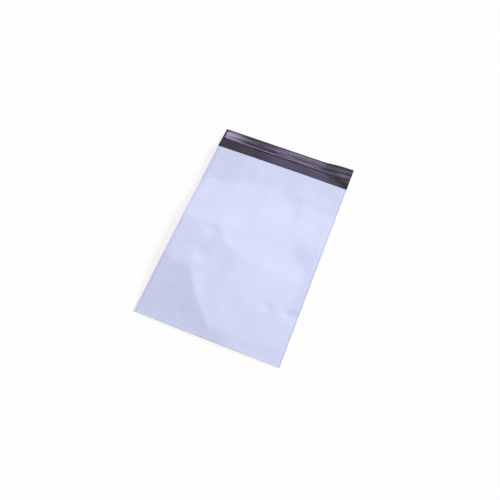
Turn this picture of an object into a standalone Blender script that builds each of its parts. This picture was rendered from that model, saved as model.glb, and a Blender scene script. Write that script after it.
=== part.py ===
"""A poly mailer bag, lying on its back, with a peel-and-seal lip.

One sheet of film makes the bag. It starts at the lip's free edge, runs down the back panel, turns round the
bottom fold and comes up the front panel to the mouth. Both long sides are welded. A band of adhesive crosses the
lip's inner face, and a release liner covers it. Being pressed in a stack has left the front panel as a few nearly
flat plates that meet along soft ridges. +Z is up, +Y points to the lip, and the origin is under the middle of the
whole bag. Units are metres. "Up" is the distance along the bag from its bottom fold.
"""

import math

import bmesh
import bpy
import numpy as np

# Flat sizes of the bag
BAG_WIDTH = 0.250
POCKET_LENGTH = 0.350
LIP_LENGTH = 0.044
FILM_THICKNESS = 0.00007
WELD_WIDTH = 0.0025

# How far the two panels part: in the weld, at the fold, at the mouth and over the trapped air
WELD_PARTING = 0.00006
FOLD_PARTING = 0.0006
MOUTH_PARTING = 0.0009
AIR_DEPTH = 0.0029
AIR_END_LENGTH = 0.070
SIDE_TURN_WIDTH = 0.005
SIDE_TURN_SHARE = 0.15
SIDE_SLOPE_WIDTH = 0.075
CROWN_TURN_WIDTH = 0.009
CROWN_TURN_SHARE = 0.3
PARTING_ROUNDING = 0.00015

# Ridges and valleys of the front panel: each station is a share of the half width from the middle, a share of the
# pocket's length up from the fold, and a share of the ridge height
RIDGE_HEIGHT = 0.0054
PRESSED_CORNER_SHARES = ((-1.0, 0.32, 0.96), (-0.56, 0.291, 0.85), (-0.40, 0.20, 0.60), (0.05, 0.043, 0.08))
CREST_SHARES = (
    (-1.0, 0.546, 0.76),
    (-0.67, 0.551, 0.76),
    (-0.46, 0.551, 0.82),
    (-0.08, 0.434, 0.87),
    (0.46, 0.443, 0.80),
    (1.0, 0.431, 0.74),
)
VALLEY_SHARES = ((-1.0, 0.777, 0.50), (0.0, 0.851, 0.50), (1.0, 0.80, 0.50))
SWELL_SHARES = ((0.0, 0.914, 0.574),)
MOUTH_SHARES = ((0.0, 1.0, 0.556),)
SIDE_FALL_SHARE = 0.10
RIDGE_ROUNDING = 0.0022
LINE_ROUNDING = 0.006

# Dents of the front panel: start and end as shares of the half width and the pocket's length, the widths of the two
# walls as shares of the half width, and the depth as a share of the ridge height
VALLEY_DENT_SHARES = ((0.496, 0.606), (0.896, 0.417), (0.13, 0.36), 0.11)
LEFT_DENT_SHARES = ((-0.608, 0.446), (-0.448, 0.337), (0.088, 0.072), 0.04)
UPRIGHT_DENT_SHARES = ((0.44, 0.84), (0.44, 0.709), (0.112, 0.032), 0.03)
DENT_FADE_SHARE = 0.62

# The lip curls up a little, and its right corner stands clear beyond a fold line that crosses it. The ends of that
# line are shares of the half width and of the lip's length, and the corner's rise is a share of the way beyond it.
LIP_CURL = 0.0006
LIP_FOLD_START_SHARES = (0.60, 0.475)
LIP_FOLD_END_SHARES = (0.984, 0.05)
LIP_FOLD_ROUNDING = 0.004
LIP_CORNER_RISE_SHARE = 0.175
LIP_ROOT = 0.006

# Release liner on the lip, and the adhesive band under it, which shows a little below the liner's lower edge
LINER_FROM_MOUTH = 0.0220
LINER_WIDTH = 0.0190
LINER_LEFT_MARGIN = 0.0035
LINER_RIGHT_MARGIN = 0.0008
LINER_THICKNESS = 0.00008
ADHESIVE_SHOWN = 0.0019
ADHESIVE_COVERED = 0.0039
ADHESIVE_SIDE_MARGIN = 0.003
ADHESIVE_THICKNESS = 0.0001
SEAT_GAP = 0.0003

# Finishes: colour, roughness and how much light passes
WHITE_FILM = ((0.78, 0.79, 0.86), 0.38, 0.0)
GREY_FILM = ((0.075, 0.07, 0.085), 0.34, 0.0)
HOT_MELT = ((0.30, 0.29, 0.30), 0.30, 0.0)
RELEASE_FILM = ((0.33, 0.32, 0.36), 0.18, 0.4)

# Mesh fineness
CELL_LENGTH = 0.0100
LIP_CELL_LENGTH = 0.0050
FOLD_STEPS = 4
LINER_ROWS = 3

HALF_WIDTH = BAG_WIDTH / 2


def clear_scene():
    for old in list(bpy.data.objects):
        bpy.data.objects.remove(old, do_unlink=True)


def film_material(name, finish):
    colour, roughness, transmission = finish
    material = bpy.data.materials.new(name)
    material.use_nodes = True
    shader = material.node_tree.nodes["Principled BSDF"]
    shader.inputs["Base Color"].default_value = (*colour, 1.0)
    shader.inputs["Roughness"].default_value = roughness
    shader.inputs["Metallic"].default_value = 0.0
    shader.inputs["Transmission Weight"].default_value = transmission
    material.diffuse_color = (*colour, 1.0)
    return material


def ease(value):
    """Goes smoothly from 0 to 1 as the value does."""
    value = np.clip(value, 0.0, 1.0)
    return value * value * (3.0 - 2.0 * value)


def bell(value):
    """A rounded bump that is 1 at 0 and falls to 0 at 1 on either side."""
    return 0.5 + 0.5 * np.cos(math.pi * np.clip(np.abs(value), 0.0, 1.0))


def ramp(value, rounding):
    """Zero below 0 and the value itself above it, with the corner rounded off."""
    return rounding * np.logaddexp(0.0, value / rounding)


def lower_of(first, second, softness):
    """The lower of two surfaces, with the ridge where they meet rounded off."""
    share = np.clip(0.5 + 0.5 * (second - first) / softness, 0.0, 1.0)
    return second * (1.0 - share) + first * share - softness * share * (1.0 - share)


def evenly(start, stop, step):
    """Stations from start to stop, both included, about one step apart."""
    return np.linspace(start, stop, max(1, round(abs(stop - start) / step)) + 1)


def y_at(up):
    """The Y of a place that lies this far up the bag from the bottom fold."""
    return up - (POCKET_LENGTH + LIP_LENGTH) / 2


def ridge_at(x, stations):
    """How far up a ridge lies, and how high it is, at each X."""
    across, ups, heights = np.array(stations).T
    shifts = (-LINE_ROUNDING, 0.0, LINE_ROUNDING)
    up = sum(np.interp((x + shift) / HALF_WIDTH, across, ups) for shift in shifts) / len(shifts)
    height = sum(np.interp((x + shift) / HALF_WIDTH, across, heights) for shift in shifts) / len(shifts)
    return POCKET_LENGTH * up, RIDGE_HEIGHT * height


def plates(x, up):
    """Plates that start from the bottom fold and meet along the ridges."""
    total = 0.0
    slope_before = 0.0
    place = 0.0
    height = 0.0
    for stations in (PRESSED_CORNER_SHARES, CREST_SHARES, VALLEY_SHARES, SWELL_SHARES, MOUTH_SHARES):
        next_place, next_height = ridge_at(x, stations)
        slope = (next_height - height) / (next_place - place)
        total = total + (slope - slope_before) * ramp(up - place, RIDGE_ROUNDING)
        slope_before = slope
        place = next_place
        height = next_height
    return total * (1.0 - SIDE_FALL_SHARE * (np.abs(x) / HALF_WIDTH) ** 3)


def dent(x, up, start, end, walls, depth):
    """A dent from start to end that fades out at both ends, with a width for the wall on each side."""
    low = (start[0] * HALF_WIDTH, start[1] * POCKET_LENGTH)
    run = (end[0] * HALF_WIDTH - low[0], end[1] * POCKET_LENGTH - low[1])
    length = math.hypot(*run)
    on = ((x - low[0]) * run[0] + (up - low[1]) * run[1]) / length**2
    aside = ((x - low[0]) * run[1] - (up - low[1]) * run[0]) / length
    wall = np.where(aside < 0.0, walls[0], walls[1]) * HALF_WIDTH
    return RIDGE_HEIGHT * depth * bell((on - 0.5) / DENT_FADE_SHARE) * np.exp(-0.5 * (aside / wall) ** 2)


def front_form(x, up):
    """How the plates and dents lift the front panel."""
    dents = (VALLEY_DENT_SHARES, LEFT_DENT_SHARES, UPRIGHT_DENT_SHARES)
    return np.maximum(plates(x, up) - sum(dent(x, up, *shares) for shares in dents), 0.0)


def total_rise(x, up):
    """The front panel's inner face over the back panel's resting place."""
    beside = HALF_WIDTH - np.abs(x) - WELD_WIDTH
    resting = FOLD_PARTING + (MOUTH_PARTING - FOLD_PARTING) * up / POCKET_LENGTH
    turn = SIDE_TURN_SHARE * ease(beside / SIDE_TURN_WIDTH)
    slope = (1.0 - SIDE_TURN_SHARE) * ease(beside / SIDE_SLOPE_WIDTH)
    return resting * (turn + slope) + front_form(x, up)


def parting(x, up):
    """The gap between the two panels' inner faces."""
    beside = np.maximum(HALF_WIDTH - np.abs(x) - WELD_WIDTH, 0.0)
    turn = CROWN_TURN_SHARE * np.minimum(beside / CROWN_TURN_WIDTH, 1.0)
    crown = turn + (1.0 - CROWN_TURN_SHARE) * (1.0 - (1.0 - beside / HALF_WIDTH) ** 2)
    depth = MOUTH_PARTING + (AIR_DEPTH - MOUTH_PARTING) * ease((POCKET_LENGTH - up) / AIR_END_LENGTH)
    air = lower_of(total_rise(x, up), depth * crown, PARTING_ROUNDING)
    return WELD_PARTING + np.maximum(air, 0.0)


def back_rise(x, up):
    """How far the back panel arches clear of the surface that the bag lies on."""
    inside = np.minimum(up, POCKET_LENGTH)
    rise = np.maximum(total_rise(x, inside) + WELD_PARTING - parting(x, inside), 0.0)
    return rise * (1.0 - ease((up - POCKET_LENGTH) / LIP_LENGTH))


def lip_rise(x, up):
    """How far the lip's film lifts."""
    out = np.maximum(up - POCKET_LENGTH, 0.0)
    start = (LIP_FOLD_START_SHARES[0] * HALF_WIDTH, LIP_FOLD_START_SHARES[1] * LIP_LENGTH)
    run = (LIP_FOLD_END_SHARES[0] * HALF_WIDTH - start[0], LIP_FOLD_END_SHARES[1] * LIP_LENGTH - start[1])
    aside = (up - POCKET_LENGTH - start[1]) * run[0] - (x - start[0]) * run[1]
    corner = LIP_CORNER_RISE_SHARE * ramp(aside / math.hypot(*run), LIP_FOLD_ROUNDING)
    return LIP_CURL * (out / LIP_LENGTH) ** 2 + corner * ease(out / LIP_ROOT)


def back_height(x, up):
    """The height of the back panel's inner face."""
    return FILM_THICKNESS + back_rise(x, up) + lip_rise(x, up)


def front_height(x, up):
    """The height of the front panel's inner face."""
    return back_height(x, up) + parting(x, up)


def columns():
    """Stations across the bag, with one at each side weld's inner line."""
    inner = HALF_WIDTH - WELD_WIDTH
    return np.concatenate([[-HALF_WIDTH], evenly(-inner, inner, CELL_LENGTH), [HALF_WIDTH]])


def panel_rows(across, ups, height):
    """Rows of points over one panel, at the height that a function gives."""
    x, up = np.meshgrid(across, ups)
    return np.stack([x, y_at(up), height(x, up)], -1)


def fold_rows(across):
    """Rows of points round the half turn of the bottom fold."""
    turns = np.linspace(0.0, math.pi, FOLD_STEPS + 1)[1:-1]
    x, turn = np.meshgrid(across, turns)
    at_fold = np.zeros_like(x)
    radius = parting(x, at_fold) / 2
    y = y_at(at_fold) - radius * np.sin(turn)
    z = back_height(x, at_fold) + radius - radius * np.cos(turn)
    return np.stack([x, y, z], -1)


def grid_mesh(rows):
    """A bmesh of rows of points, joined by quads, with its grid of vertices."""
    mesh = bmesh.new()
    grid = [[mesh.verts.new(point) for point in row] for row in rows]
    for lower, upper in zip(grid, grid[1:]):
        for column in range(len(lower) - 1):
            corners = (lower[column], lower[column + 1], upper[column + 1], upper[column])
            mesh.faces.new(corners)
    return mesh, grid


def weld_side(mesh, grid, column, pocket_rows):
    """Closes one long side: each row of the front is joined to the row of the back that lies under it."""
    middle = len(grid) - 1 - pocket_rows
    for step in range(pocket_rows):
        back = [grid[middle - step][column], grid[middle - step - 1][column]]
        front = [grid[middle + step + 1][column], grid[middle + step][column]]
        corners = back + front if step else back + front[:1]
        mesh.faces.new(corners)


def add_object(name, mesh, materials, collection):
    bmesh.ops.recalc_face_normals(mesh, faces=mesh.faces)
    data = bpy.data.meshes.new(name)
    mesh.to_mesh(data)
    mesh.free()
    data.shade_smooth()
    for material in materials:
        data.materials.append(material)
    made = bpy.data.objects.new(name, data)
    collection.objects.link(made)
    return made


def give_thickness(made, thickness, inner_material=0):
    """Grows the film outwards from its modelled face."""
    solidify = made.modifiers.new("film thickness", "SOLIDIFY")
    solidify.thickness = thickness
    solidify.offset = 1.0
    solidify.use_even_offset = True
    solidify.material_offset = inner_material


def make_bag_film(collection):
    """The folded and welded sheet, with its white side out and its grey side in."""
    across = columns()
    lip = evenly(POCKET_LENGTH + LIP_LENGTH, POCKET_LENGTH, LIP_CELL_LENGTH)
    panel = evenly(POCKET_LENGTH, 0.0, CELL_LENGTH)
    back = panel_rows(across, np.concatenate([lip[:-1], panel]), back_height)
    fold = fold_rows(across)
    front = panel_rows(across, panel[::-1], front_height)
    mesh, grid = grid_mesh(np.concatenate([back, fold, front]))
    pocket_rows = len(panel) + len(fold) // 2
    for column in (0, -1):
        weld_side(mesh, grid, column, pocket_rows)
    white = film_material("white_polyethylene_film", WHITE_FILM)
    grey = film_material("grey_polyethylene_film", GREY_FILM)
    film = add_object("bag_film", mesh, (white, grey), collection)
    give_thickness(film, FILM_THICKNESS, inner_material=1)


def strip_on_lip(name, edges, margins, lift, thickness, material, collection):
    """A strip that follows the lip between two edges, its underside the given lift above the film."""
    across = evenly(margins[0] - HALF_WIDTH, HALF_WIDTH - margins[1], CELL_LENGTH)
    ups = np.linspace(*edges, LINER_ROWS + 1)
    mesh, _ = grid_mesh(panel_rows(across, ups, lambda x, up: back_height(x, up) + lift))
    strip = add_object(name, mesh, (material,), collection)
    give_thickness(strip, thickness)


def make_strips(collection):
    """The adhesive band and, over it, the release liner."""
    liner_low = POCKET_LENGTH + LINER_FROM_MOUTH
    liner_high = liner_low + LINER_WIDTH
    liner_margins = (LINER_LEFT_MARGIN, LINER_RIGHT_MARGIN)
    strip_on_lip(
        "adhesive_strip",
        (liner_low - ADHESIVE_SHOWN, liner_high - ADHESIVE_COVERED),
        [margin + ADHESIVE_SIDE_MARGIN for margin in liner_margins],
        SEAT_GAP,
        ADHESIVE_THICKNESS,
        film_material("hot_melt_adhesive", HOT_MELT),
        collection,
    )
    strip_on_lip(
        "release_liner",
        (liner_low, liner_high),
        liner_margins,
        2 * SEAT_GAP + ADHESIVE_THICKNESS,
        LINER_THICKNESS,
        film_material("release_film", RELEASE_FILM),
        collection,
    )


def main():
    clear_scene()
    collection = bpy.data.collections.new("poly_mailer_bag")
    bpy.context.scene.collection.children.link(collection)
    make_bag_film(collection)
    make_strips(collection)


main()
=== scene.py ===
# %% [markdown]
# # A poly mailer bag
# A poly mailer is one sheet of plastic film, folded over at the bottom and welded down both long sides.
# Its back panel runs on past the mouth as a lip, which carries a band of adhesive under a release liner.
# This lesson dresses a measured model of the bag: it makes the film again as a finer mesh, with the soft
# creases of a bag that has been pressed in a stack, and gives each layer the finish of its real material.

# %% Load the measured model
import math

import bmesh
import bpy
import numpy as np
from mathutils import Matrix, Vector


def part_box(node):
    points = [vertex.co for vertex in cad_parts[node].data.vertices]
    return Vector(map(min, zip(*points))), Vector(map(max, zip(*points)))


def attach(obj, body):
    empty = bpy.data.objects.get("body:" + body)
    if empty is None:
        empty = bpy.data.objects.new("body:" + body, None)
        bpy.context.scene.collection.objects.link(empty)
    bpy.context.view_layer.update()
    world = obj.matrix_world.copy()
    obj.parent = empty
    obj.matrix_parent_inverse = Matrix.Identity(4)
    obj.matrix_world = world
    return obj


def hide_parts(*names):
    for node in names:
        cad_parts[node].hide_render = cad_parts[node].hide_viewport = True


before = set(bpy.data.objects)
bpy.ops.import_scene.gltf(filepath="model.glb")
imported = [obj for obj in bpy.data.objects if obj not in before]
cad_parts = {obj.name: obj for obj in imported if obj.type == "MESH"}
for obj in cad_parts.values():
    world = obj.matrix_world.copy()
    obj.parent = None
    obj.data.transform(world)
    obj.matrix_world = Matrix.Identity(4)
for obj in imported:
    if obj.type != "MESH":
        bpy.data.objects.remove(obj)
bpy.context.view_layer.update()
film_low, film_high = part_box("bag_film")
print("film box in mm:", [round(1000 * (high - low), 2) for low, high in zip(film_low, film_high)])

# %% [markdown]
# The bag's own sizes come first. Widths run across the bag, along X, and "up" is the distance along the
# bag from its bottom fold, because that is how a bag maker states them: 250 x 350 mm with a 44 mm lip.

# %% Sizes of the bag
MM = 0.001
BAG_WIDTH = 250 * MM
POCKET_LENGTH = 350 * MM
LIP_LENGTH = 44 * MM
FILM_THICKNESS = 0.07 * MM
WELD_WIDTH = 2.5 * MM
HALF_WIDTH = BAG_WIDTH / 2


def y_at(up):
    """The Y of a place that lies this far up the bag from its bottom fold."""
    return up - (POCKET_LENGTH + LIP_LENGTH) / 2


sheet_sides = (BAG_WIDTH, 2 * POCKET_LENGTH + LIP_LENGTH)
print("sheet cut for one bag in mm:", [round(side / MM) for side in sheet_sides])

# %% [markdown]
# Colours are easiest to read and compare as the hex codes of a colour picker, but a shader works in
# linear light. One function turns the first into the second.

# %% Colour helper


def linear(hex_code):
    """An sRGB hex colour as linear RGBA."""
    values = [int(hex_code[start : start + 2], 16) / 255 for start in (0, 2, 4)]
    return (*[v / 12.92 if v <= 0.04045 else ((v + 0.055) / 1.055) ** 2.4 for v in values], 1.0)


print("mid grey in linear light:", round(linear("808080")[0], 3))

# %% [markdown]
# Every material below is a small graph of nodes. One helper adds a node, sets its values and links its
# inputs, so that each material reads as a list of what it is made of. Another starts a material.

# %% Node helpers


def add_node(tree, kind, settings=None, values=None, links=None):
    """Adds a node, with its own settings, values for its inputs, and outputs linked to its inputs."""
    node = tree.nodes.new(kind)
    for name, value in (settings or {}).items():
        setattr(node, name, value)
    for name, value in (values or {}).items():
        node.inputs[name].default_value = value
    for name, output in (links or {}).items():
        tree.links.new(output, node.inputs[name])
    return node


def new_material(name):
    """A material, with its node tree and its Principled shader."""
    material = bpy.data.materials.new(name)
    material.use_nodes = True
    return material, material.node_tree, material.node_tree.nodes["Principled BSDF"]


print("Blender", bpy.app.version_string)

# %% [markdown]
# The bag lies on a plain white sweep. The sweep is a matt white surface that takes the bag's shadow. Rays
# that come straight from the camera see most of it at full white instead, so that the background reaches
# white without more light falling on the bag.

# %% White floor
FLOOR_SIZE = 6.0
FLOOR_DROP = 0.2 * MM
FLOOR_GLOW_SHARE = 0.86
SWEEP_COLOUR = "F2F2F4"

floor_mesh = bpy.data.meshes.new("floor")
floor_cage = bmesh.new()
bmesh.ops.create_grid(floor_cage, x_segments=1, y_segments=1, size=FLOOR_SIZE / 2)
floor_cage.to_mesh(floor_mesh)
floor_cage.free()
floor = bpy.data.objects.new("floor", floor_mesh)
floor.location.z = -FLOOR_DROP
bpy.context.scene.collection.objects.link(floor)

sweep, tree, shader = new_material("matt_white_sweep")
shader.inputs["Base Color"].default_value = linear(SWEEP_COLOUR)
shader.inputs["Roughness"].default_value = 1.0
shader.inputs["Specular IOR Level"].default_value = 0.0
rays = add_node(tree, "ShaderNodeLightPath")
glow = add_node(tree, "ShaderNodeEmission", values={"Color": (1, 1, 1, 1), "Strength": 1.0})
share = add_node(
    tree,
    "ShaderNodeMath",
    {"operation": "MULTIPLY"},
    {1: FLOOR_GLOW_SHARE},
    {0: rays.outputs["Is Camera Ray"]},
)
blend = add_node(
    tree,
    "ShaderNodeMixShader",
    links={0: share.outputs[0], 1: shader.outputs[0], 2: glow.outputs[0]},
)
tree.links.new(blend.outputs[0], tree.nodes["Material Output"].inputs["Surface"])
floor_mesh.materials.append(sweep)
print("floor lies", FLOOR_DROP / MM, "mm under the film")

# %% [markdown]
# The camera stands in front of the bag, a little to its right, and looks down on it 27 degrees off the
# vertical. Its place was found by fitting a pinhole camera to the corners of the front panel.

# %% Camera
CAMERA_AIM = (0.008, -0.0238, 0.0)
CAMERA_DISTANCE = 1.0255
CAMERA_TILT = math.radians(26.68)
CAMERA_TURN = math.radians(17.12)
CAMERA_ROLL = math.radians(4.78)
SENSOR_WIDTH = 36.0
FOCAL_LENGTH_IN_FRAMES = 1.206

lens = bpy.data.cameras.new("camera")
lens.sensor_width = SENSOR_WIDTH
lens.lens = FOCAL_LENGTH_IN_FRAMES * SENSOR_WIDTH
camera = bpy.data.objects.new("camera", lens)
bpy.context.scene.collection.objects.link(camera)
camera.matrix_world = (
    Matrix.Translation(CAMERA_AIM)
    @ Matrix.Rotation(CAMERA_TURN, 4, "Z")
    @ Matrix.Rotation(CAMERA_TILT, 4, "X")
    @ Matrix.Rotation(CAMERA_ROLL, 4, "Z")
    @ Matrix.Translation((0, 0, CAMERA_DISTANCE))
)
bpy.context.scene.camera = camera
print("camera at", [round(value, 3) for value in camera.matrix_world.translation])

# %% [markdown]
# Film that lies flat shows its form only by small changes of tone, so the key light comes in low from
# behind the right-hand corner of the lip and rakes over the ridges. A lamp as low as that glares off
# plastic film. A photographer would take the glare away with a polarising filter, and here the key is
# left out of glossy reflections instead. A soft panel overhead gives the film its sheen, a weak one
# farther back is what the glossy liner mirrors, and an even white surround fills the rest.

# %% Lights


def add_light(name, kind, location, aim, energy, **settings):
    """A lamp that faces its aim."""
    data = bpy.data.lights.new(name, kind)
    data.energy = energy
    for setting, value in settings.items():
        setattr(data, setting, value)
    lamp = bpy.data.objects.new(name, data)
    bpy.context.scene.collection.objects.link(lamp)
    lamp.location = location
    direction = Vector(aim) - Vector(location)
    lamp.rotation_euler = direction.to_track_quat("-Z", "Y").to_euler()
    return lamp


KEY_STRENGTH = 12.6
KEY_PLACE = (2.0, 2.6, 0.58)
KEY_ANGLE = math.radians(9)
SHEEN_WATTS = 0.48
SHEEN_PLACE = (0.0, 0.74, 1.10)
SHEEN_AIM = (0.02, 0.1, 0.0)
LINER_SHEEN_WATTS = 0.14
LINER_SHEEN_PLACE = (-0.42, 1.12, 1.10)
LINER_SHEEN_AIM = (-0.05, 0.15, 0.0)
PANEL = {"shape": "RECTANGLE", "size": 0.46, "size_y": 0.24}
SURROUND_STRENGTH = 0.32

key = add_light("key", "SUN", KEY_PLACE, (0.0, 0.0, 0.0), KEY_STRENGTH, angle=KEY_ANGLE)
key.visible_glossy = False
add_light("sheen_panel", "AREA", SHEEN_PLACE, SHEEN_AIM, SHEEN_WATTS, **PANEL)
add_light("liner_panel", "AREA", LINER_SHEEN_PLACE, LINER_SHEEN_AIM, LINER_SHEEN_WATTS, **PANEL)

world = bpy.data.worlds.new("studio")
bpy.context.scene.world = world
world.use_nodes = True
tree = world.node_tree
tree.nodes.clear()
rays = add_node(tree, "ShaderNodeLightPath")
surround = add_node(
    tree, "ShaderNodeBackground", values={"Color": (1, 1, 1, 1), "Strength": SURROUND_STRENGTH}
)
white = add_node(tree, "ShaderNodeBackground", values={"Color": (1, 1, 1, 1), "Strength": 1.0})
seen = add_node(
    tree,
    "ShaderNodeMixShader",
    links={0: rays.outputs["Is Camera Ray"], 1: surround.outputs[0], 2: white.outputs[0]},
)
add_node(tree, "ShaderNodeOutputWorld", links={"Surface": seen.outputs[0]})
bpy.context.scene.view_settings.view_transform = "Standard"

# %% [markdown]
# ## The form of the film
# Film can't stretch, so a pressed bag takes the form of nearly flat plates that meet along soft ridges.
# The form is written as a height for every place on the panel. That could be sculpted or simulated, but a
# simulation would give other ridges than the ones seen, and heights can be set ridge by ridge. A few
# rounding helpers come first.

# %% Rounding helpers


def ease(value):
    """Goes smoothly from 0 to 1 as the value does."""
    value = np.clip(value, 0.0, 1.0)
    return value * value * (3.0 - 2.0 * value)


def bell(value):
    """A rounded bump that is 1 at 0 and falls to 0 at 1 on either side."""
    return 0.5 + 0.5 * np.cos(math.pi * np.clip(np.abs(value), 0.0, 1.0))


def ramp(value, rounding):
    """Zero below 0 and the value itself above it, with the corner rounded off."""
    return rounding * np.logaddexp(0.0, value / rounding)


def lower_of(first, second, softness):
    """The lower of two surfaces, with the ridge where they meet rounded off."""
    share = np.clip(0.5 + 0.5 * (second - first) / softness, 0.0, 1.0)
    return second * (1.0 - share) + first * share - softness * share * (1.0 - share)


print("rounded corner at 0 and 5 mm:", ramp(0, MM) / MM, ramp(5 * MM, MM) / MM)

# %% [markdown]
# Each ridge is a few stations: X, the distance up and the height, in millimetres. The crest of the
# trapped air crosses the bag at about half its length and steps down in the middle. The lower left corner
# has been pressed into a plate of its own, a valley crosses the bag below the mouth, and a low swell
# follows it. The panel falls a little towards its sides, and no ridge is sharp or bends sharply.

# %% Ridges of the front panel
PRESSED_CORNER_RIDGE = (
    (-125, 112, 4.2),
    (-70, 102, 3.8),
    (-50, 70, 2.8),
    (-5, 18, 1.0),
    (60, 24, 0.4),
    (125, 30, 0.7),
)
CREST = (
    (-125, 191, 4.7),
    (-84, 193, 4.6),
    (-57, 193, 4.3),
    (-10, 152, 3.5),
    (57, 152, 2.1),
    (110, 150, 1.5),
    (125, 151, 1.8),
)
VALLEY = ((-125, 272, 2.6), (-80, 288, 2.8), (0, 300, 2.9), (50, 292, 2.2), (125, 285, 1.7))
SWELL = ((-80, 322, 3.2), (0, 324, 3.3), (80, 322, 2.6))
MOUTH = ((-125, 350, 3.7), (0, 350, 3.7), (125, 350, 3.3))
SIDE_FALL = 0.05
RIDGE_ROUNDING = 2.2 * MM
LINE_ROUNDING = 6 * MM


def ridge_at(x, stations):
    """How far up a ridge lies, and how high it is, at each X."""
    across, ups, heights = np.array(stations, float).T * MM
    shifts = (-LINE_ROUNDING, 0.0, LINE_ROUNDING)
    place = sum(np.interp(x + shift, across, ups) for shift in shifts) / len(shifts)
    height = sum(np.interp(x + shift, across, heights) for shift in shifts) / len(shifts)
    return place, height


def plates(x, up):
    """Plates that start from the bottom fold and meet along the ridges."""
    total, slope_before, place, height = 0.0, 0.0, 0.0, 0.0
    for stations in (PRESSED_CORNER_RIDGE, CREST, VALLEY, SWELL, MOUTH):
        next_place, next_height = ridge_at(x, stations)
        slope = (next_height - height) / (next_place - place)
        total = total + (slope - slope_before) * ramp(up - place, RIDGE_ROUNDING)
        slope_before, place, height = slope, next_place, next_height
    return total * (1.0 - SIDE_FALL * (np.abs(x) / HALF_WIDTH) ** 3)


print("crest height at the middle in mm:", round(float(plates(0.0, 0.15)) / MM, 2))

# %% [markdown]
# Handling leaves dents between the ridges. Each has a start, an end, a width for the wall on either side,
# and a depth, which is below zero for a low bump, all in millimetres. Besides those that can be picked
# out, a scatter of very shallow ones stands for the cockles that all thin film has: too slight to see one
# by one, they keep a plate from looking like glass.

# %% Dents and cockles
DENTS = (
    ((62, 212), (112, 146), (16, 45), 0.75),
    ((-76, 156), (-56, 118), (11, 9), 0.35),
    ((54, 298), (54, 244), (5, 25), 0.30),
    ((58, 87), (84, 90), (4, 8), 0.25),
    ((95, 85), (130, 92), (4, 8), 0.30),
    ((-82, 178), (-48, 193), (5, 9), 0.25),
    ((-108, 268), (-78, 244), (8, 22), 0.15),
    ((-124, 276), (-98, 264), (7, 18), -0.15),
    ((-48, 320), (-18, 319), (7, 26), -0.20),
    ((-28, 168), (-24, 196), (9, 5), 0.15),
)
DENT_FADE = 0.62
COCKLES = 90
COCKLE_SEED = 11
COCKLE_AREA = ((-118, 12), (118, 342))
COCKLE_LENGTHS = (14, 55)
COCKLE_WALLS = (3, 9)
COCKLE_DEPTH = 0.05


def dent(x, up, start, end, walls, depth):
    """A dent from start to end that fades out at both ends, with a width for the wall on each side."""
    start, end = np.array(start) * MM, np.array(end) * MM
    run = end - start
    length = math.hypot(*run)
    on = ((x - start[0]) * run[0] + (up - start[1]) * run[1]) / length**2
    aside = ((x - start[0]) * run[1] - (up - start[1]) * run[0]) / length
    wall = np.where(aside < 0.0, walls[0], walls[1]) * MM
    return depth * MM * bell((on - 0.5) / DENT_FADE) * np.exp(-0.5 * (aside / wall) ** 2)


def scatter(count):
    """Shallow dents of random place, direction, length and depth."""
    dice = np.random.default_rng(COCKLE_SEED)
    for _ in range(count):
        middle = dice.uniform(*COCKLE_AREA)
        angle = dice.uniform(0, math.pi)
        half = dice.uniform(*COCKLE_LENGTHS) / 2 * np.array((math.cos(angle), math.sin(angle)))
        walls = dice.uniform(*COCKLE_WALLS, 2)
        yield middle - half, middle + half, walls, dice.uniform(-COCKLE_DEPTH, COCKLE_DEPTH)


cockles = list(scatter(COCKLES))


def front_form(x, up):
    """How the plates, dents and cockles lift the front panel."""
    dents = sum(dent(x, up, *one) for one in (*DENTS, *cockles))
    return np.maximum(plates(x, up) - dents, 0.0)


print("dents:", len(DENTS), "cockles:", len(cockles))

# %% [markdown]
# The front panel holds the form, and the back panel lies under it: flat on the floor where the air
# between them is deep enough for that, and arched clear of it elsewhere. The gap closes to almost nothing
# in the side welds.

# %% The two panels
WELD_PARTING = 0.06 * MM
FOLD_PARTING = 0.6 * MM
MOUTH_PARTING = 0.9 * MM
AIR_DEPTH = 2.9 * MM
AIR_END_LENGTH = 70 * MM
SIDE_TURN_WIDTH = 5 * MM
SIDE_TURN_SHARE = 0.15
SIDE_SLOPE_WIDTH = 75 * MM
CROWN_TURN_WIDTH = 9 * MM
CROWN_TURN_SHARE = 0.3
PARTING_ROUNDING = 0.15 * MM


def total_rise(x, up):
    """The front panel's inner face over the back panel's resting place."""
    beside = HALF_WIDTH - np.abs(x) - WELD_WIDTH
    resting = FOLD_PARTING + (MOUTH_PARTING - FOLD_PARTING) * up / POCKET_LENGTH
    turn = SIDE_TURN_SHARE * ease(beside / SIDE_TURN_WIDTH)
    slope = (1.0 - SIDE_TURN_SHARE) * ease(beside / SIDE_SLOPE_WIDTH)
    return resting * (turn + slope) + front_form(x, up)


def parting(x, up):
    """The gap between the two panels' inner faces."""
    beside = np.maximum(HALF_WIDTH - np.abs(x) - WELD_WIDTH, 0.0)
    turn = CROWN_TURN_SHARE * np.minimum(beside / CROWN_TURN_WIDTH, 1.0)
    crown = turn + (1.0 - CROWN_TURN_SHARE) * (1.0 - (1.0 - beside / HALF_WIDTH) ** 2)
    depth = MOUTH_PARTING + (AIR_DEPTH - MOUTH_PARTING) * ease((POCKET_LENGTH - up) / AIR_END_LENGTH)
    air = lower_of(total_rise(x, up), depth * crown, PARTING_ROUNDING)
    return WELD_PARTING + np.maximum(air, 0.0)


def back_rise(x, up):
    """How far the back panel arches clear of the floor."""
    inside = np.minimum(up, POCKET_LENGTH)
    rise = np.maximum(total_rise(x, inside) + WELD_PARTING - parting(x, inside), 0.0)
    return rise * (1.0 - ease((up - POCKET_LENGTH) / LIP_LENGTH))


print("parting at the middle in mm:", round(float(parting(0.0, 0.15)) / MM, 2))

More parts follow.
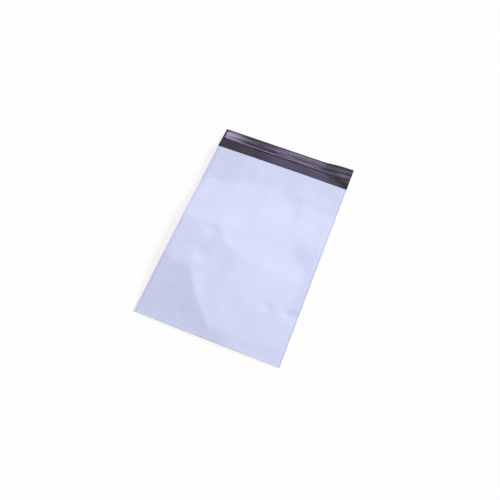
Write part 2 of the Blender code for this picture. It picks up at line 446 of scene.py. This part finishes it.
# %% [markdown]
# The lip lies nearly flat, but its right-hand corner has been bent up. The strip of adhesive and liner is
# stiff, so the bend goes straight across it, and from there it slants down through the bare film to the
# end of the mouth. The slanting part is a little step, steeper than the rest, which the eye sees as a
# dark wedge.

# %% The lip
LIP_CURL = 0.6 * MM
BEND_TOP = (68 * MM, 394 * MM)
BEND_TURN = (75 * MM, 371 * MM)
BEND_END = (123 * MM, 352 * MM)
BEND_ROUNDING = 1.5 * MM
BEND_TURN_ROUNDING = 5 * MM
CORNER_SLOPE = 0.10
STEP_SLOPE = 0.20
STEP_WIDTH = 8 * MM
STEP_FADE = 34 * MM
LIP_ROOT = 6 * MM


def beyond(x, up, start, end):
    """How far a place lies to the upper right of the line from start to end."""
    run = np.subtract(end, start)
    return ((up - start[1]) * run[0] - (x - start[0]) * run[1]) / math.hypot(*run)


def lip_rise(x, up):
    """How far the lip's film lifts from the floor."""
    out = np.maximum(up - POCKET_LENGTH, 0.0)
    past_top = beyond(x, up, BEND_TOP, BEND_TURN)
    past_slant = beyond(x, up, BEND_TURN, BEND_END)
    corner = CORNER_SLOPE * ramp(lower_of(past_top, past_slant, BEND_TURN_ROUNDING), BEND_ROUNDING)
    step = ramp(past_slant, BEND_ROUNDING) - ramp(past_slant - STEP_WIDTH, BEND_ROUNDING)
    step = STEP_SLOPE * step * ease(past_top / STEP_FADE)
    return LIP_CURL * (out / LIP_LENGTH) ** 2 + (corner + step) * ease(out / LIP_ROOT)


def back_height(x, up):
    """The height of the back panel's and the lip's inner face."""
    return FILM_THICKNESS + back_rise(x, up) + lip_rise(x, up)


def front_height(x, up):
    """The height of the front panel's inner face."""
    return back_height(x, up) + parting(x, up)


corner_height = float(back_height(HALF_WIDTH, POCKET_LENGTH + LIP_LENGTH))
print("lip corner stands at mm:", round(corner_height / MM, 2))

# %% [markdown]
# ## One sheet of film
# The mesh follows the sheet as the bag maker runs it: in from the lip's free edge, down the back, half a
# turn round the bottom fold, and up the front to the mouth. Its rows are the same number of points wide
# throughout, so the front and back rows line up, and each side weld is a narrow wall between them.

# %% Rows of the sheet
FILM_CELL = 2.2 * MM
FOLD_STEPS = 6
FOLD_ROW = 0.4 * MM


def evenly(start, stop, step):
    """Stations from start to stop, both included, about one step apart."""
    return np.linspace(start, stop, max(1, round(abs(stop - start) / step)) + 1)


def panel_rows(across, ups, height):
    """Rows of points over one panel, at the height that a function gives."""
    x, up = np.meshgrid(across, ups)
    return np.stack([x, y_at(up), height(x, up)], -1)


def fold_rows(across):
    """Rows of points round the half turn of the bottom fold."""
    x, turn = np.meshgrid(across, np.linspace(0.0, math.pi, FOLD_STEPS + 1)[1:-1])
    at_fold = np.zeros_like(x)
    radius = parting(x, at_fold) / 2
    y = y_at(at_fold) - radius * np.sin(turn)
    return np.stack([x, y, back_height(x, at_fold) + radius - radius * np.cos(turn)], -1)


inner = HALF_WIDTH - WELD_WIDTH
across = np.concatenate([[-HALF_WIDTH], evenly(-inner, inner, FILM_CELL), [HALF_WIDTH]])
lip_ups = evenly(POCKET_LENGTH + LIP_LENGTH, POCKET_LENGTH, FILM_CELL)[:-1]
panel_ups = np.append(evenly(POCKET_LENGTH, FOLD_ROW, FILM_CELL), 0.0)
fold = fold_rows(across)
back = panel_rows(across, np.concatenate([lip_ups, panel_ups]), back_height)
front = panel_rows(across, panel_ups[::-1], front_height)
sheet_rows = np.concatenate([back, fold, front])
print("rows and columns of the sheet:", sheet_rows.shape[:2])
print("highest point in mm:", round(float(sheet_rows[..., 2].max()) / MM, 2))

# %% [markdown]
# A grid of rows becomes a mesh of quads, and Solidify then gives it the film's real thickness, growing
# outwards from the face that was modelled. The inner face gets the next material, because the film is
# white outside and dark grey inside.

# %% Mesh helpers
SHARP_ANGLE = math.radians(50)


def grid_mesh(rows):
    """A bmesh of rows of points joined by quads, with its grid of vertices."""
    mesh = bmesh.new()
    grid = [[mesh.verts.new(point) for point in row] for row in rows]
    for lower, upper in zip(grid, grid[1:]):
        for column in range(len(lower) - 1):
            mesh.faces.new((lower[column], lower[column + 1], upper[column + 1], upper[column]))
    return mesh, grid


def add_film(name, mesh, thickness, inner_material=0):
    """A piece of film of the given thickness, grown outwards from its modelled face."""
    bmesh.ops.recalc_face_normals(mesh, faces=mesh.faces)
    for edge in mesh.edges:
        edge.smooth = not edge.is_boundary and edge.calc_face_angle() < SHARP_ANGLE
    data = bpy.data.meshes.new(name)
    mesh.to_mesh(data)
    mesh.free()
    data.shade_smooth()
    piece = bpy.data.objects.new(name, data)
    bpy.context.scene.collection.objects.link(piece)
    solidify = piece.modifiers.new("film thickness", "SOLIDIFY")
    solidify.thickness = thickness
    solidify.offset = 1.0
    solidify.use_even_offset = True
    solidify.material_offset = inner_material
    solidify.material_offset_rim = inner_material
    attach(piece, "root")
    return piece


print("edges sharper than", round(math.degrees(SHARP_ANGLE)), "degrees stay sharp")

# %% [markdown]
# The rows become the folded sheet. Each side weld is a wall of faces between the edges of the two panels,
# and its first face, at the fold, is a triangle.

# %% Folded film
mesh, grid = grid_mesh(sheet_rows)
pocket_rows = len(panel_ups) + len(fold) // 2
middle = len(grid) - 1 - pocket_rows
for column in (0, -1):
    for step in range(pocket_rows):
        back_edge = [grid[middle - step][column], grid[middle - step - 1][column]]
        front_edge = [grid[middle + step + 1][column], grid[middle + step][column]]
        mesh.faces.new(back_edge + front_edge if step else back_edge + front_edge[:1])
film = add_film("folded_film", mesh, FILM_THICKNESS, inner_material=1)
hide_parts("bag_film")
print("faces of the folded film:", len(film.data.polygons))

# %% [markdown]
# Most patterns on film come from how it was blown, so they share a few parts: noise of a given real size,
# noise drawn out in the direction that the film ran, a fade between two values, and a ramp between two
# pigments.

# %% Pattern helpers
NOISE_SPAN = (0.3, 0.7)


def arithmetic(tree, operation, *terms):
    """The result of an operation on its terms, each a number or the output of another node."""
    node = add_node(tree, "ShaderNodeMath", {"operation": operation})
    for socket, term in zip(node.inputs, terms):
        if isinstance(term, bpy.types.NodeSocket):
            tree.links.new(term, socket)
        else:
            socket.default_value = term
    return node.outputs[0]


def apart(tree, value, middle):
    """How far a value lies from a middle, on either side of it."""
    return arithmetic(tree, "ABSOLUTE", arithmetic(tree, "SUBTRACT", value, middle))


def fade(tree, value, span, results, curve="SMOOTHSTEP"):
    """Fades from the first result to the second as the value crosses the span."""
    names = ("From Min", "From Max", "To Min", "To Max")
    values = dict(zip(names, (*span, *results)))
    node = add_node(tree, "ShaderNodeMapRange", {"interpolation_type": curve}, values, {"Value": value})
    return node.outputs[0]


def noise(tree, place, size, detail, roughness=0.5):
    """Cloudy noise of the given size."""
    values = {"Scale": 1 / size, "Detail": detail, "Roughness": roughness}
    return add_node(tree, "ShaderNodeTexNoise", values=values, links={"Vector": place}).outputs["Fac"]


def drawn_out_noise(tree, place, length, spacing):
    """Noise drawn out across the bag into streaks of the given length and spacing."""
    values = {"Scale": (1 / length, 1 / spacing, 0.0)}
    along = add_node(tree, "ShaderNodeMapping", values=values, links={"Vector": place})
    return noise(tree, along.outputs[0], size=1.0, detail=3.0, roughness=0.6)


def pigmented(tree, tone, pigments):
    """The colour of a tone. Each pigment is the tone where it is pure, and its hex colour."""
    node = add_node(tree, "ShaderNodeValToRGB", links={"Fac": tone})
    for stop, (position, hex_code) in zip(node.color_ramp.elements, pigments):
        stop.position = position
        stop.color = linear(hex_code)
    return node.outputs["Color"]


def set_colour(tree, shader, colour):
    """Gives a shader its colour."""
    tree.links.new(colour, shader.inputs["Base Color"])


def set_gloss(tree, shader, pattern, roughness):
    """Lets the roughness of a shader follow a noise, between two values."""
    tree.links.new(fade(tree, pattern, NOISE_SPAN, roughness, "LINEAR"), shader.inputs["Roughness"])


def set_relief(tree, shader, pattern, height):
    """Gives a shader relief too fine for the mesh, as high as it is on the real film."""
    values = {"Strength": 1.0, "Distance": height}
    relief = add_node(tree, "ShaderNodeBump", values=values, links={"Height": pattern})
    tree.links.new(relief.outputs[0], shader.inputs["Normal"])


print("the noise of a pattern keeps mostly to", NOISE_SPAN)

# %% [markdown]
# The outside is low-density polyethylene, blown into film with white pigment. The eye gets a satin
# lilac-white with a broad sheen: the blown surface is smooth but not polished. The die leaves faint lines
# in the direction that the film ran, across this bag, and the pigment is a little uneven. A thin greyer
# line is painted along the weld beside each side edge, as painted shade where the edge rolls away. IOR
# starts from 1.51 for this plastic and roughness from 0.3 for blown film.

# %% White outer film
POLYETHYLENE_IOR = 1.51
DIE_LINE_SPACING = 2.5 * MM
DIE_LINE_LENGTH = 300 * MM
DIE_LINE_SHARE = 0.35
MOTTLE_SIZE = 38 * MM
WHITE_PIGMENTS = ((0.45, "CED4F2"), (0.90, "D4DAF8"))
WHITE_ROUGHNESS = (0.28, 0.36)
FINE_COCKLE_SIZE = 7 * MM
FINE_COCKLE_HEIGHT = 0.012 * MM
# painted shade: a thin greyer line along the weld beside each side edge
EDGE_SHADE_INSET = 2.2 * MM
EDGE_SHADE_WIDTH = 0.8 * MM
EDGE_SHADE_COLOUR = "B3B9D8"

white_film, tree, shader = new_material("blown_white_polyethylene")
shader.inputs["IOR"].default_value = POLYETHYLENE_IOR
place = add_node(tree, "ShaderNodeTexCoord").outputs["Object"]
axes = add_node(tree, "ShaderNodeSeparateXYZ", links={0: place})
die_lines = drawn_out_noise(tree, place, DIE_LINE_LENGTH, DIE_LINE_SPACING)
mottle = noise(tree, place, MOTTLE_SIZE, detail=4.0, roughness=0.55)
tone = arithmetic(tree, "MULTIPLY_ADD", die_lines, DIE_LINE_SHARE, mottle)
pigment = pigmented(tree, tone, WHITE_PIGMENTS)
side = arithmetic(tree, "ABSOLUTE", axes.outputs["X"])
# the painted shade line beside each side edge, on the pocket only
edge_shade = fade(tree, apart(tree, side, HALF_WIDTH - EDGE_SHADE_INSET), (0.0, EDGE_SHADE_WIDTH), (1.0, 0.0))
in_pocket = arithmetic(tree, "LESS_THAN", axes.outputs["Y"], y_at(POCKET_LENGTH))
edge_shade = arithmetic(tree, "MULTIPLY", edge_shade, in_pocket)
coloured = add_node(
    tree, "ShaderNodeMix", {"data_type": "RGBA"}, {7: linear(EDGE_SHADE_COLOUR)}, {0: edge_shade, 6: pigment}
)
set_colour(tree, shader, coloured.outputs[2])
set_gloss(tree, shader, mottle, WHITE_ROUGHNESS)
set_relief(tree, shader, noise(tree, place, FINE_COCKLE_SIZE, detail=2.0), FINE_COCKLE_HEIGHT)
film.data.materials.append(white_film)
print("die lines per bag:", round(POCKET_LENGTH / DIE_LINE_SPACING))

# %% [markdown]
# The inside is the same plastic with carbon black and reclaimed film in it, which is why it is a purplish
# dark grey and not a true black. It was blown in the same pass, so it has the same lines, and on the lip
# it shows them plainly as lighter and darker streaks. Its left part is painted darker than the rest, as
# painted shade where the lip mirrors less of the overhead light.

# %% Dark inner film
STREAK_SPACING = 4 * MM
STREAK_LENGTH = 160 * MM
STREAK_SHARE = 0.3
PATCH_SIZE = 45 * MM
PATCH_SHARE = 0.5
# painted shade: the dark film is painted darker towards its left side
PAINTED_SHADE_SPAN = (-65 * MM, 5 * MM)
PAINTED_SHADE_TONES = (0.0, 0.34)
GREY_PIGMENTS = ((0.40, "2E2936"), (0.84, "4E475C"))
GREY_ROUGHNESS = (0.26, 0.38)
STREAK_HEIGHT = 0.012 * MM

dark_film, tree, shader = new_material("blown_grey_polyethylene")
shader.inputs["IOR"].default_value = POLYETHYLENE_IOR
place = add_node(tree, "ShaderNodeTexCoord").outputs["Object"]
axes = add_node(tree, "ShaderNodeSeparateXYZ", links={0: place})
streaks = drawn_out_noise(tree, place, STREAK_LENGTH, STREAK_SPACING)
patches = noise(tree, place, PATCH_SIZE, detail=2.0)
# painted shade that darkens the left part of the dark film
painted_left_shade = fade(tree, axes.outputs["X"], PAINTED_SHADE_SPAN, PAINTED_SHADE_TONES)
tone = arithmetic(tree, "MULTIPLY_ADD", streaks, STREAK_SHARE, painted_left_shade)
tone = arithmetic(tree, "MULTIPLY_ADD", patches, PATCH_SHARE, tone)
set_colour(tree, shader, pigmented(tree, tone, GREY_PIGMENTS))
set_gloss(tree, shader, streaks, GREY_ROUGHNESS)
set_relief(tree, shader, streaks, STREAK_HEIGHT)
film.data.materials.append(dark_film)
print("materials of the film:", [one.name for one in film.data.materials])

# %% [markdown]
# ## The seal on the lip
# Hot-melt adhesive is laid on the lip as a thin band, and the release liner is laid over it. A strip
# helper makes both: it follows the lip at a small height, between a lower and an upper edge that may
# wander.

# %% Strip helpers
SEAT_GAP = 0.3 * MM
STRIP_CELL = 1.6 * MM
STRIP_ROWS = 26
WAVES = 5
WAVE_RATES = (0.5, 1.6)


def wander(x, seed, length, size):
    """A smooth random wave along the bag, of about the given wavelength and size."""
    dice = np.random.default_rng(seed)
    turns = dice.uniform(0, 2 * math.pi, WAVES)
    rates = dice.uniform(*WAVE_RATES, WAVES) * 2 * math.pi / length
    return 2 * size / WAVES * sum(np.sin(x * rate + turn) for rate, turn in zip(rates, turns))


def wavy_edge(up, seed, length, size):
    """An edge that wanders about its distance up the bag, as a function of X."""
    return lambda x: up + wander(x, seed, length, size)


def strip_rows(left, right, lower, upper, height):
    """Rows of points between two edges, which are functions of X, at the height that a function gives."""
    x = evenly(left, right, STRIP_CELL)
    shares = np.linspace(0.0, 1.0, STRIP_ROWS + 1)[:, None]
    up = lower(x) * (1 - shares) + upper(x) * shares
    x = np.broadcast_to(x, up.shape)
    return np.stack([x, y_at(up), back_height(x, up) + height(x, up)], -1)


print("strip cells in mm:", STRIP_CELL / MM)

# %% [markdown]
# The adhesive is a pressure-sensitive hot melt, laid molten by a slot nozzle: a tacky, slightly hazy gel
# whose edges wander by a few tenths of a millimetre. Only its lower edge shows below the liner, as a thin
# line. Its colour is painted lighter, as painted light that lifts the liner's shadow on that line. IOR
# starts from 1.49 for the resins in it, and roughness from 0.2 for a gel that set on its own.

# %% Adhesive band
ADHESIVE_LOW = 370.1 * MM
ADHESIVE_HIGH = 387.1 * MM
ADHESIVE_ENDS = (-118.5 * MM, 121.2 * MM)
ADHESIVE_THICKNESS = 0.1 * MM
ADHESIVE_WANDER = 0.25 * MM
HOT_MELT_IOR = 1.49
HOT_MELT_ROUGHNESS = 0.22
HAZE_CLOUD_SIZE = 3 * MM
# painted light: the gel's colours are lightened against the shadow of the liner
GEL_PIGMENTS_WITH_PAINTED_LIGHT = ((0.0, "5A5361"), (1.0, "7B7484"))
GEL_HEIGHT = 0.03 * MM

rows = strip_rows(
    *ADHESIVE_ENDS,
    wavy_edge(ADHESIVE_LOW, seed=3, length=20 * MM, size=ADHESIVE_WANDER),
    wavy_edge(ADHESIVE_HIGH, seed=4, length=24 * MM, size=ADHESIVE_WANDER),
    lambda x, up: SEAT_GAP,
)
mesh, _ = grid_mesh(rows)
adhesive = add_film("adhesive_band", mesh, ADHESIVE_THICKNESS)
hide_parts("adhesive_strip")

hot_melt, tree, shader = new_material("slot_laid_hot_melt_adhesive")
shader.inputs["IOR"].default_value = HOT_MELT_IOR
shader.inputs["Roughness"].default_value = HOT_MELT_ROUGHNESS
place = add_node(tree, "ShaderNodeTexCoord").outputs["Object"]
clouds = noise(tree, place, HAZE_CLOUD_SIZE, detail=3.0)
set_colour(tree, shader, pigmented(tree, clouds, GEL_PIGMENTS_WITH_PAINTED_LIGHT))
set_relief(tree, shader, clouds, GEL_HEIGHT)
adhesive.data.materials.append(hot_melt)
print("adhesive band in mm:", [round(float(size) / MM, 1) for size in adhesive.dimensions])

# %% [markdown]
# The liner is a thin polyethylene film coated with silicone. The eye gets long streaks of bright and dull
# light, because it is glossier than the bag, doesn't lie quite flat on the tacky gel, and ripples along
# its length. Its lower edge has come free of the adhesive and turns up, which catches the light as a thin
# line.

# %% Release liner
LINER_LOW = 372 * MM
LINER_HIGH = 391 * MM
LINER_ENDS = (-121.5 * MM, 124.2 * MM)
LINER_THICKNESS = 0.08 * MM
LINER_WANDER = 0.12 * MM
RIPPLE_WIDTH = 6.5 * MM
RIPPLE_HEIGHT = 0.10 * MM
RIPPLE_WANDER = 1.6 * MM
RIPPLE_SWELL = 0.5
RIPPLE_SWELL_LENGTHS = (31 * MM, 13 * MM)
EDGE_CURL = 0.25 * MM
EDGE_CURL_WIDTH = 1.8 * MM


def liner_lift(x, up):
    """The liner's underside over the lip: clear of the adhesive, rippled, its lower edge turned up."""
    phase = (up + wander(x, seed=6, length=150 * MM, size=RIPPLE_WANDER)) / RIPPLE_WIDTH
    long_wave, short_wave = (x / length for length in RIPPLE_SWELL_LENGTHS)
    swell = 1.0 + RIPPLE_SWELL * np.sin(long_wave) * np.sin(short_wave + 1.0)
    ripple = RIPPLE_HEIGHT * swell * (0.5 + 0.5 * np.sin(2 * math.pi * phase))
    curl = EDGE_CURL * np.clip(1.0 - (up - LINER_LOW) / EDGE_CURL_WIDTH, 0.0, 1.0) ** 2
    return 2 * SEAT_GAP + ADHESIVE_THICKNESS + ripple + curl


rows = strip_rows(
    *LINER_ENDS,
    wavy_edge(LINER_LOW, seed=8, length=120 * MM, size=LINER_WANDER),
    wavy_edge(LINER_HIGH, seed=9, length=140 * MM, size=LINER_WANDER),
    liner_lift,
)
mesh, _ = grid_mesh(rows)
liner = add_film("silicone_release_liner", mesh, LINER_THICKNESS)
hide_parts("release_liner")
print("liner in mm:", [round(float(size) / MM, 1) for size in liner.dimensions])

# %% [markdown]
# The silicone makes the liner glossy: IOR starts from 1.45, between silicone and the plastic under it,
# and roughness from 0.15. The coating was wiped on lengthwise and isn't even, so it runs in streaks. Its
# tone is lighter near both long edges and darker along the very top. Right of the middle it is painted
# lighter and towards both ends darker: painted sheen and painted shade. At the left end, most of all in
# the upper half, it is painted pale: a painted reflection.

# %% Liner film
LINER_IOR = 1.45
HAZE_SPACING = 5 * MM
HAZE_LENGTH = 90 * MM
LINER_MIDDLE = y_at((LINER_LOW + LINER_HIGH) / 2)
LINER_HALF = (LINER_HIGH - LINER_LOW) / 2
LINER_TOP = LINER_MIDDLE + LINER_HALF
LIGHT_EDGE_WIDTH = 6 * MM
LIGHT_EDGE_TONE = 0.09
DARK_TOP_WIDTH = 4 * MM
DARK_TOP_TONE = -0.14
# painted sheen and shade: the liner is painted lighter right of the middle and darker towards both ends
PAINTED_SHEEN_X = 36 * MM
PAINTED_SHEEN_SPAN = (25 * MM, 70 * MM)
PAINTED_SHEEN_AND_SHADE_TONES = (0.04, -0.03)
# painted reflection: the liner's left end is painted pale, most of all in its upper half
PAINTED_REFLECTION_SPAN = (-118 * MM, -70 * MM)
PAINTED_REFLECTION_TONE = 0.27
PAINTED_REFLECTION_LOWER_SHARE = 0.55
LINER_PIGMENTS = ((0.42, "2A2033"), (0.90, "A89EBC"))
LINER_ROUGHNESS = (0.14, 0.28)

liner_film, tree, shader = new_material("silicone_coated_liner_film")
shader.inputs["IOR"].default_value = LINER_IOR
place = add_node(tree, "ShaderNodeTexCoord").outputs["Object"]
axes = add_node(tree, "ShaderNodeSeparateXYZ", links={0: place})
across_bag, along_bag = axes.outputs["X"], axes.outputs["Y"]
haze = drawn_out_noise(tree, place, HAZE_LENGTH, HAZE_SPACING)
from_middle = apart(tree, along_bag, LINER_MIDDLE)
edges = fade(tree, from_middle, (LINER_HALF - LIGHT_EDGE_WIDTH, LINER_HALF), (0.0, LIGHT_EDGE_TONE))
top = fade(tree, along_bag, (LINER_TOP - DARK_TOP_WIDTH, LINER_TOP), (0.0, DARK_TOP_TONE))
# painted sheen right of the middle, painted shade towards both ends
patch = fade(tree, apart(tree, across_bag, PAINTED_SHEEN_X), PAINTED_SHEEN_SPAN, PAINTED_SHEEN_AND_SHADE_TONES)
# painted reflection at the liner's left end
painted_reflection = fade(tree, across_bag, PAINTED_REFLECTION_SPAN, (PAINTED_REFLECTION_TONE, 0.0))
upper_half = (LINER_MIDDLE - LINER_HALF / 2, LINER_MIDDLE + LINER_HALF / 3)
upper_share = fade(tree, along_bag, upper_half, (PAINTED_REFLECTION_LOWER_SHARE, 1.0))
tone = haze
for part in (edges, top, patch):
    tone = arithmetic(tree, "ADD", tone, part)
tone = arithmetic(tree, "MULTIPLY_ADD", painted_reflection, upper_share, tone)
set_colour(tree, shader, pigmented(tree, tone, LINER_PIGMENTS))
set_gloss(tree, shader, haze, LINER_ROUGHNESS)
liner.data.materials.append(liner_film)
print("nodes in the liner's material:", len(tree.nodes))
